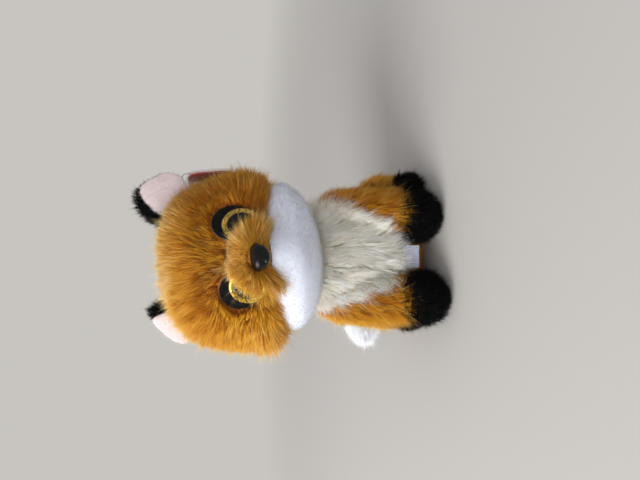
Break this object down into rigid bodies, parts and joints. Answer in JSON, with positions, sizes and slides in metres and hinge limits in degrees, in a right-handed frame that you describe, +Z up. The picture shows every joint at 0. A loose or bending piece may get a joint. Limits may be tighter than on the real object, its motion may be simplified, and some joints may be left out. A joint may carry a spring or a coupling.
{
  "type": "plush fox",
  "caption": "Small sitting plush fox with stuffed head, legs and tail, safety eyes, soft ears, a bare swing tag and a blank sewn-in label.",
  "frame": {"origin": "middle of the flat seat under the torso, on the surface that the fox sits on", "axes": "+Z up, -Y the way the fox faces, +X the fox's left"},
  "size_m": [0.1073, 0.1278, 0.1559],
  "materials": {
    "orange_plush": "long pile, orange with dark roots and pale tips",
    "gold_plush": "dense short pile, golden brown",
    "white_plush": "short smooth pile, cool white",
    "cream_plush": "long pile, cream white",
    "black_plush": "short dense pile, black",
    "pink_plush": "very short smooth pile, pale pink",
    "black_felt": "matt pressed felt",
    "black_gloss": "polished black",
    "gold_glitter": "gold flakes under a clear coat",
    "clear_lens": "clear, polished",
    "polyester_filling": "loose white fibre",
    "plastic_pellets": "small round pellets in a cotton bag",
    "red_card": "coated card, satin",
    "clear_sleeve": "thin clear film",
    "nylon": "translucent white, smooth",
    "satin": "woven satin, slight sheen"
  },
  "bodies": {
    "torso": {"torso_cover": "orange_plush", "chest_bib": "cream_plush", "pellet_pouch": "plastic_pellets", "torso_filling": "polyester_filling"},
    "neck": {"neck_filling": "polyester_filling"},
    "head": {"face_cover": "orange_plush", "back_of_head_cover": "orange_plush", "jowl_panel": "white_plush", "muzzle_panel": "gold_plush", "head_filling": "polyester_filling", "nose": "black_gloss", "nose_washer": "nylon", "left_eye_base": "black_gloss", "left_eye_iris": "gold_glitter", "left_eye_pupil": "black_gloss", "left_eye_lens": "clear_lens", "left_eye_patch": "black_felt", "left_eye_washer": "nylon", "right_eye_base": "black_gloss", "right_eye_iris": "gold_glitter", "right_eye_pupil": "black_gloss", "right_eye_lens": "clear_lens", "right_eye_patch": "black_felt", "right_eye_washer": "nylon", "tag_loop": "nylon"},
    "left_ear_body": {"left_ear": "black_plush", "left_ear_lining": "pink_plush"},
    "right_ear_body": {"right_ear": "black_plush", "right_ear_lining": "pink_plush"},
    "left_front_leg": {"left_front_leg_cover": "orange_plush", "left_front_paw_cover": "black_plush", "left_front_leg_filling": "polyester_filling"},
    "right_front_leg": {"right_front_leg_cover": "orange_plush", "right_front_paw_cover": "black_plush", "right_front_leg_filling": "polyester_filling"},
    "left_hind_leg": {"left_hind_leg_cover": "orange_plush", "left_hind_paw_cover": "black_plush", "left_hind_leg_filling": "polyester_filling"},
    "right_hind_leg": {"right_hind_leg_cover": "orange_plush", "right_hind_paw_cover": "black_plush", "right_hind_leg_filling": "polyester_filling"},
    "tail": {"tail_cover": "orange_plush", "tail_tip_cover": "white_plush", "tail_filling": "polyester_filling"},
    "swing_tag": {"tag_card": "red_card", "tag_sleeve": "clear_sleeve"},
    "label": {"sewn_label": "satin"}
  },
  "joints": [
    {"name": "head_turn", "type": "hinge", "parent": "torso", "child": "neck", "pos_m": [0, -0.003, 0.074], "axis": [0, 0, 1], "range_deg": [-20, 15], "stiffness_Nm_per_rad": 0.06},
    {"name": "head_tilt", "type": "hinge", "parent": "neck", "child": "head", "pos_m": [0, -0.003, 0.074], "axis": [-0.1045, 0.9945, 0], "range_deg": [-12, 8], "stiffness_Nm_per_rad": 0.06},
    {"name": "left_ear_fold", "type": "hinge", "parent": "head", "child": "left_ear_body", "pos_m": [0.02804, 0.00095, 0.13479], "axis": [0.9445, 0.2662, -0.1923], "range_deg": [-15, 15], "stiffness_Nm_per_rad": 0.004},
    {"name": "right_ear_fold", "type": "hinge", "parent": "head", "child": "right_ear_body", "pos_m": [-0.03175, -0.00533, 0.12797], "axis": [0.8448, -0.4249, -0.3253], "range_deg": [-15, 15], "stiffness_Nm_per_rad": 0.004},
    {"name": "left_front_leg_swing", "type": "hinge", "parent": "torso", "child": "left_front_leg", "pos_m": [0.026, -0.008, 0.052], "axis": [-1, 0, 0], "range_deg": [-2, 14], "stiffness_Nm_per_rad": 0.03},
    {"name": "right_front_leg_swing", "type": "hinge", "parent": "torso", "child": "right_front_leg", "pos_m": [-0.026, -0.008, 0.052], "axis": [-1, 0, 0], "range_deg": [-2, 14], "stiffness_Nm_per_rad": 0.03},
    {"name": "left_hind_leg_splay", "type": "hinge", "parent": "torso", "child": "left_hind_leg", "pos_m": [0.022, 0.012, 0.014], "axis": [0, 0, 1], "range_deg": [0, 18], "stiffness_Nm_per_rad": 0.03},
    {"name": "right_hind_leg_splay", "type": "hinge", "parent": "torso", "child": "right_hind_leg", "pos_m": [-0.019, 0.012, 0.014], "axis": [0, 0, -1], "range_deg": [0, 18], "stiffness_Nm_per_rad": 0.03},
    {"name": "tail_sweep", "type": "hinge", "parent": "torso", "child": "tail", "pos_m": [0, 0.018, 0.0135], "axis": [0, 0, 1], "range_deg": [-22, 4], "stiffness_Nm_per_rad": 0.02},
    {"name": "tag_swing", "type": "hinge", "parent": "head", "child": "swing_tag", "pos_m": [0.04005, 0.00925, 0.12709], "axis": [0.9219, 0.3741, 0.1005], "range_deg": [-15, 25]},
    {"name": "label_flap", "type": "hinge", "parent": "torso", "child": "label", "pos_m": [0, -0.02387, 0.02], "axis": [-1, 0, 0], "range_deg": [0, 30], "stiffness_Nm_per_rad": 0.0005}
  ]
}
